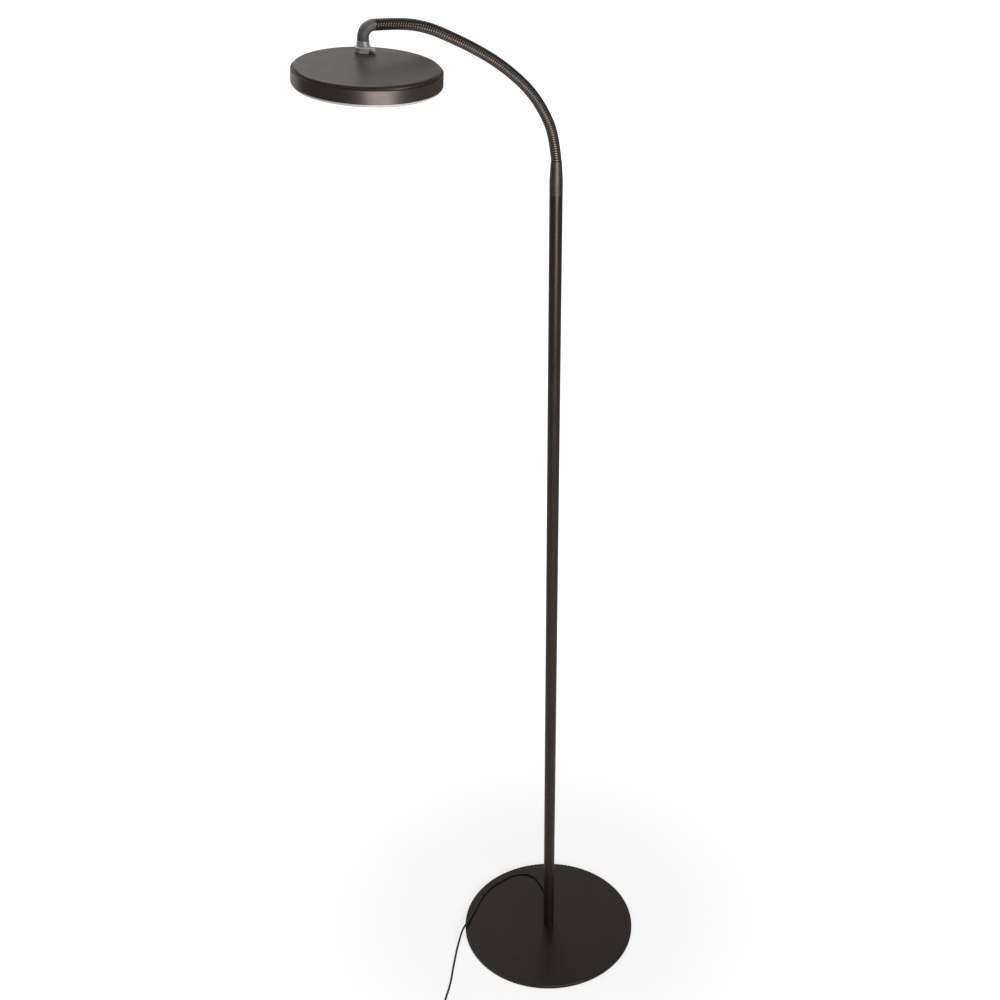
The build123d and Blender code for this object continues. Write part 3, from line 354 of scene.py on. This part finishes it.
def wound_tube_tree():
    """Nodes that wind a ribbed tube round a stretch of a centreline."""
    tree = bpy.data.node_groups.new("wound_tube", "GeometryNodeTree")
    tree.interface.new_socket("Geometry", in_out="INPUT", socket_type="NodeSocketGeometry")
    for name in ("Radius", "Rib Depth", "Pitch", "From", "To"):
        tree.interface.new_socket(name, in_out="INPUT", socket_type="NodeSocketFloat")
    for name in ("Rings", "Sides"):
        tree.interface.new_socket(name, in_out="INPUT", socket_type="NodeSocketInt")
    tree.interface.new_socket("Finish", in_out="INPUT", socket_type="NodeSocketMaterial")
    tree.interface.new_socket("Geometry", in_out="OUTPUT", socket_type="NodeSocketGeometry")
    links = tree.links

    def add(kind, **settings):
        node = tree.nodes.new(kind)
        for key, value in settings.items():
            setattr(node, key, value)
        return node

    def math_node(operation, first, second=None):
        node = add("ShaderNodeMath", operation=operation)
        for socket, value in zip(node.inputs, (first, second)):
            if isinstance(value, (int, float)):
                socket.default_value = value
            elif value is not None:
                links.new(value, socket)
        return node.outputs[0]

    given = add("NodeGroupInput").outputs
    trim = add("GeometryNodeTrimCurve", mode="LENGTH")
    start_length, end_length = trim.inputs[4], trim.inputs[5]
    links.new(given["Geometry"], trim.inputs["Curve"])
    links.new(given["From"], start_length)
    links.new(given["To"], end_length)
    resample = add("GeometryNodeResampleCurve", mode="COUNT")
    links.new(trim.outputs["Curve"], resample.inputs["Curve"])
    links.new(given["Rings"], resample.inputs["Count"])
    upright = add("GeometryNodeSetCurveNormal", mode="Z_UP")
    links.new(resample.outputs["Curve"], upright.inputs["Curve"])
    along = add("GeometryNodeStoreNamedAttribute", data_type="FLOAT", domain="POINT")
    along.inputs["Name"].default_value = "along"
    distance = math_node("ADD", add("GeometryNodeSplineParameter").outputs["Length"], given["From"])
    links.new(upright.outputs["Curve"], along.inputs["Geometry"])
    links.new(distance, along.inputs["Value"])

    ring = add("GeometryNodeCurvePrimitiveCircle", mode="RADIUS")
    links.new(given["Sides"], ring.inputs["Resolution"])
    links.new(given["Radius"], ring.inputs["Radius"])
    around = add("GeometryNodeStoreNamedAttribute", data_type="FLOAT", domain="POINT")
    around.inputs["Name"].default_value = "around"
    turn = math_node("DIVIDE", add("GeometryNodeInputIndex").outputs["Index"], given["Sides"])
    links.new(ring.outputs["Curve"], around.inputs["Geometry"])
    links.new(turn, around.inputs["Value"])
    tube = add("GeometryNodeCurveToMesh")
    links.new(along.outputs["Geometry"], tube.inputs["Curve"])
    links.new(around.outputs["Geometry"], tube.inputs["Profile Curve"])

    def stored(name):
        node = add("GeometryNodeInputNamedAttribute", data_type="FLOAT")
        node.inputs["Name"].default_value = name
        return node.outputs["Attribute"]

    winding = math_node("ADD", math_node("DIVIDE", stored("along"), given["Pitch"]), stored("around"))
    offset = math_node("ABSOLUTE", math_node("SUBTRACT", math_node("FRACT", winding), 0.5))
    groove = math_node("POWER", math_node("MULTIPLY", offset, 2.0), GROOVE_SHARPNESS)
    crest = add("GeometryNodeStoreNamedAttribute", data_type="FLOAT", domain="POINT")
    crest.inputs["Name"].default_value = "crest"
    links.new(tube.outputs["Mesh"], crest.inputs["Geometry"])
    links.new(math_node("SUBTRACT", 1.0, groove), crest.inputs["Value"])
    sink = math_node("MULTIPLY", math_node("MULTIPLY", groove, given["Rib Depth"]), -1.0)
    push = add("ShaderNodeVectorMath", operation="SCALE")
    links.new(add("GeometryNodeInputNormal").outputs["Normal"], push.inputs["Vector"])
    links.new(sink, push.inputs["Scale"])
    place = add("GeometryNodeSetPosition")
    links.new(crest.outputs["Geometry"], place.inputs["Geometry"])
    links.new(push.outputs["Vector"], place.inputs["Offset"])
    smooth = add("GeometryNodeSetShadeSmooth")
    links.new(place.outputs["Geometry"], smooth.inputs["Geometry"])
    real = add("GeometryNodeRealizeInstances")
    links.new(smooth.outputs["Geometry"], real.inputs["Geometry"])
    finish = add("GeometryNodeSetMaterial")
    links.new(real.outputs["Geometry"], finish.inputs["Geometry"])
    links.new(given["Finish"], finish.inputs["Material"])
    links.new(finish.outputs["Geometry"], add("NodeGroupOutput").inputs["Geometry"])
    return tree


def run_tree(holder, tree, **values):
    """The plain mesh that a node tree makes of a holder with these named inputs."""
    modifier = holder.modifiers.new("tree", "NODES")
    modifier.node_group = tree
    for item in tree.interface.items_tree:
        key = item.name.replace(" ", "_")
        if item.in_out == "INPUT" and key in values:
            modifier[item.identifier] = values[key]
    holder.update_tag()
    bpy.context.view_layer.update()
    evaluated = holder.evaluated_get(bpy.context.evaluated_depsgraph_get())
    mesh = bpy.data.meshes.new_from_object(evaluated)
    holder.modifiers.remove(modifier)
    return mesh


def as_piece(name, mesh):
    """An object of that mesh, standing at the origin."""
    piece = bpy.data.objects.new(name, mesh)
    bpy.context.scene.collection.objects.link(piece)
    return piece


def spline_marks(points):
    """Lengths along the smooth line with these control points: 0, each mid-stretch, and its end."""
    length = 0.0
    marks = [length]
    middles = [points[0]] + [(a + b) / 2 for a, b in zip(points[1:-1], points[2:-1])] + [points[-1]]
    for i, (start, end) in enumerate(zip(middles, middles[1:])):
        control = points[i + 1]
        previous = start
        for step in range(1, LENGTH_STEPS + 1):
            t = step / LENGTH_STEPS
            here = start * (1 - t) ** 2 + control * (2 * t * (1 - t)) + end * t ** 2
            length += (here - previous).length
            previous = here
        marks.append(length)
    return marks


def wind_neck(controls):
    """The ribbed neck in stretches, one over each joint."""
    line = spline_object("neck_line", controls, NECK_LINE_STEPS)
    tree = wound_tube_tree()
    marks = spline_marks(controls)
    pieces = []
    for i, (start, end) in enumerate(zip(marks, marks[1:]), start=1):
        rings = max(2, round((end - start) / RIB_PITCH * RINGS_PER_RIB)) + 1
        mesh = run_tree(
            line, tree, Radius=NECK_RADIUS, Rib_Depth=RIB_DEPTH, Pitch=RIB_PITCH, From=start, To=end,
            Rings=rings, Sides=NECK_SIDES, Finish=FINISHES["neck_bronze"],
        )
        piece = as_piece(f"wound_neck_{i}", mesh)
        pieces.append(piece)
    bpy.data.objects.remove(line)
    return pieces


def build_neck():
    """Winds the neck in stretches, one over each joint, in place of the frame's neck segments."""
    controls = neck_controls()
    pieces = wind_neck(controls)
    for i, piece in enumerate(pieces, start=1):
        nodes = [f"neck_segment_{i}"]
        if i == len(pieces):
            nodes.append(f"neck_segment_{i + 1}")
        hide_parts(*nodes)
        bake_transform(piece)


# ---------------------------------------------------------------- lead
def coil_point(half_turns, radius, height):
    """A place on the coil, so many half turns after its start."""
    angle = COIL_START + math.pi * half_turns
    return COIL_CENTRE + Vector((radius * math.cos(angle), radius * math.sin(angle), height))


def coil_points():
    """Turns spiralling in on the floor and out again on top of them."""
    outward = 1 / math.cos(math.pi / (2 * COIL_POINTS_PER_HALF))
    outer = COIL_MEAN_RADIUS + COIL_SPREAD
    inner = COIL_MEAN_RADIUS - COIL_SPREAD
    floor = LEAD_RADIUS + FLOOR_GAP
    points = []
    steps = (2 * COIL_HALF_TURNS + 2) * COIL_POINTS_PER_HALF
    for step in range(steps):
        turned = (step + 0.5) / COIL_POINTS_PER_HALF
        if turned < COIL_HALF_TURNS:
            radius, height = outer - turned * COIL_PITCH / 2, floor
        elif turned < COIL_HALF_TURNS + 1:
            radius, height = inner, floor + (turned - COIL_HALF_TURNS) * COIL_PITCH
        else:
            radius, height = inner + (turned - COIL_HALF_TURNS - 1) * COIL_PITCH / 2, floor + COIL_PITCH
        points.append(coil_point(turned, radius * outward, height))
    return points


def level(angle):
    """Unit vector along the floor."""
    return Vector((math.cos(angle), math.sin(angle), 0))


def way(places, ground):
    """Points of the lead's middle line over these places."""
    points = []
    for x, y, gap in places:
        height = ground + LEAD_RADIUS + gap * MM
        points.append(Vector((x, y, 0)) * MM + Vector((0, 0, height)))
    return points


def lead_points():
    """Out of the pole, over the base and its rim, across the floor, round the coil, to the adapter."""
    out = level(MOUTH_ANGLE)
    mouth = out * MOUTH_REACH + Vector((0, 0, MOUTH_HEIGHT))
    along_coil = Vector((-math.sin(COIL_START), math.cos(COIL_START), 0))
    entry = coil_point(0, COIL_MEAN_RADIUS + COIL_SPREAD, LEAD_RADIUS + FLOOR_GAP)
    leaving = coil_point(
        2 * COIL_HALF_TURNS + 2,
        COIL_MEAN_RADIUS + (COIL_HALF_TURNS / 4 + 0.5) * COIL_PITCH,
        LEAD_RADIUS + FLOOR_GAP + COIL_PITCH,
    )
    to_inlet = level(ADAPTER_ANGLE)
    relief_tip = ADAPTER_INLET - to_inlet * RELIEF_LENGTH
    points = [mouth, mouth + out * MOUTH_RUN]
    points += way(WAY_OVER_BASE, BASE_TOP)
    points += way(WAY_OVER_FLOOR, 0.0)
    points.append(entry - along_coil * COIL_ENTRY_RUN)
    points.append(entry - along_coil * COIL_TOUCH_RUN)
    points += coil_points()
    points.append(leaving + along_coil * COIL_TOUCH_RUN)
    points.append(leaving + along_coil * COIL_EXIT_RUN)
    points += way(WAY_TO_ADAPTER, 0.0)
    points += [relief_tip - to_inlet * RELIEF_RUN, relief_tip]
    return points


def build_lead():
    """One cord from the pole to the adapter, in place of the frame's three solids."""
    points = lead_points()
    lead = spline_object("rubber_lead", points, LEAD_LINE_STEPS, LEAD_RADIUS)
    lead.data.materials.append(FINISHES["rubber_black"])
    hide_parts("lead", "lead_coil", "lead_tail")
    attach(lead, "stand")


# ---------------------------------------------------------------- floor, light and camera
FLOOR_HALF_SIDE = 12
FLOOR_WHITE = (0.9, 0.9, 0.9, 1)
FLOOR_GLOW = 1.18
# The floor near the lamp takes its soft shadow, and further off it fades towards a plain white glow.
GLOW_SHARES = (0.6, 1.0)
GLOW_FADES_FROM = 0.2
GLOW_FADES_TO = 0.8
WORLD_FILL = 0.18
WORLD_SEEN = 1.0


def build_floor():
    """A white floor that shows the lamp's soft shadow, and nothing at all from below."""
    mesh = bpy.data.meshes.new("floor")
    grid = bmesh.new()
    bmesh.ops.create_grid(grid, x_segments=1, y_segments=1, size=FLOOR_HALF_SIDE)
    grid.to_mesh(mesh)
    grid.free()
    floor = as_piece("floor", mesh)
    recipe = Recipe("white_floor")
    recipe.surface(Base_Color=FLOOR_WHITE, Roughness=0.9, Specular_IOR_Level=0.1)

    def mix(share, first, second):
        node = recipe.add("ShaderNodeMixShader")
        recipe.links.new(share, node.inputs["Fac"])
        recipe.links.new(first, node.inputs[1])
        recipe.links.new(second, node.inputs[2])
        return node.outputs[0]

    glow = recipe.add("ShaderNodeEmission")
    glow.inputs["Color"].default_value = WHITE
    glow.inputs["Strength"].default_value = FLOOR_GLOW
    reach = recipe.add("ShaderNodeVectorMath", operation="LENGTH")
    recipe.links.new(recipe.place, reach.inputs[0])
    share = recipe.spread(reach.outputs["Value"], *GLOW_SHARES, start=GLOW_FADES_FROM, end=GLOW_FADES_TO)
    lit = recipe.shader.outputs[0]
    seen = recipe.add("ShaderNodeLightPath").outputs["Is Camera Ray"]
    above = mix(seen, lit, mix(share, lit, glow.outputs[0]))
    behind = recipe.add("ShaderNodeNewGeometry").outputs["Backfacing"]
    clear = recipe.add("ShaderNodeBsdfTransparent").outputs[0]
    surface = recipe.nodes["Material Output"].inputs["Surface"]
    recipe.links.new(mix(behind, above, clear), surface)
    floor.data.materials.append(recipe.material)


def build_world():
    """White where the camera looks past the lamp or through clear material, and a dim fill elsewhere."""
    world = bpy.data.worlds.new("studio")
    world.use_nodes = True
    nodes = world.node_tree.nodes
    links = world.node_tree.links
    fill = nodes["Background"]
    bright = nodes.new("ShaderNodeBackground")
    for node, strength in ((fill, WORLD_FILL), (bright, WORLD_SEEN)):
        node.inputs["Color"].default_value = WHITE
        node.inputs["Strength"].default_value = strength
    path = nodes.new("ShaderNodeLightPath")
    seen = nodes.new("ShaderNodeMath")
    seen.operation = "MAXIMUM"
    links.new(path.outputs["Is Camera Ray"], seen.inputs[0])
    links.new(path.outputs["Is Transmission Ray"], seen.inputs[1])
    mix = nodes.new("ShaderNodeMixShader")
    links.new(seen.outputs[0], mix.inputs["Fac"])
    links.new(fill.outputs[0], mix.inputs[1])
    links.new(bright.outputs[0], mix.inputs[2])
    links.new(mix.outputs[0], nodes["World Output"].inputs["Surface"])
    bpy.context.scene.world = world


# Soft boxes: name, place, what it looks at, width, height and power in watts.
SOFT_BOXES = [
    ("low_front_box", (-0.50, -1.70, 0.90), (-0.26, 0.0, 1.30), 1.25, 0.9, 27),
    ("top_box", (-0.2, 1.2, 2.9), (-0.1, 0, 0.8), 1.6, 1.6, 15),
    ("high_front_box", (0.9, -2.4, 2.6), (-0.1, 0, 1.0), 0.9, 0.9, 14),
    ("back_panel", (1.05, 2.2, 1.98), (-0.26, 0.0, 1.40), 3.0, 1.0, 5.4),
    ("left_back_panel", (-0.85, 2.30, 0.80), (-0.26, 0.0, 1.20), 1.3, 1.4, 4.5),
]


def soft_box(name, place, target, width, height, power):
    """A rectangular soft light that looks at a target."""
    lamp = bpy.data.lights.new(name, "AREA")
    lamp.shape = "RECTANGLE"
    lamp.size = width
    lamp.size_y = height
    lamp.energy = power
    thing = bpy.data.objects.new(name, lamp)
    thing.location = place
    thing.rotation_euler = (Vector(target) - Vector(place)).to_track_quat("-Z", "Y").to_euler()
    thing.visible_camera = False
    bpy.context.scene.collection.objects.link(thing)


# The camera: its place in metres, and its lens and the middle of its view in pixels.
CAMERA_PLACE = Vector((-1005.409, -1579.783, 1934.617)) * MM
CAMERA_FORWARD = Vector((0.47058536, 0.70982838, -0.52411171))
CAMERA_RIGHT = Vector((0.83912123, -0.54367562, 0.01709899))
CAMERA_UP = Vector((0.27280941, 0.4478398, 0.85147786))
FOCAL_PIXELS = 1661.2269
FRAME_PIXELS = 1000
CENTRE_PIXEL = (579.256, 501.081)
SENSOR_WIDTH = 36
FARTHEST_SEEN = 50


def build_camera():
    """The view of the photograph."""
    camera = bpy.data.cameras.new("camera")
    camera.sensor_width = SENSOR_WIDTH
    camera.lens = FOCAL_PIXELS * SENSOR_WIDTH / FRAME_PIXELS
    camera.shift_x = (FRAME_PIXELS / 2 - CENTRE_PIXEL[0]) / FRAME_PIXELS
    camera.shift_y = (CENTRE_PIXEL[1] - FRAME_PIXELS / 2) / FRAME_PIXELS
    camera.clip_end = FARTHEST_SEEN
    thing = bpy.data.objects.new("camera", camera)
    turn = Matrix((CAMERA_RIGHT, CAMERA_UP, -CAMERA_FORWARD)).transposed()
    thing.matrix_world = Matrix.Translation(CAMERA_PLACE) @ turn.to_4x4()
    bpy.context.scene.collection.objects.link(thing)
    bpy.context.scene.camera = thing


build_camera()
build_world()
build_floor()
for values in SOFT_BOXES:
    soft_box(*values)
bpy.context.scene.view_settings.view_transform = "Standard"

paint_nodes()
build_neck()
build_lead()
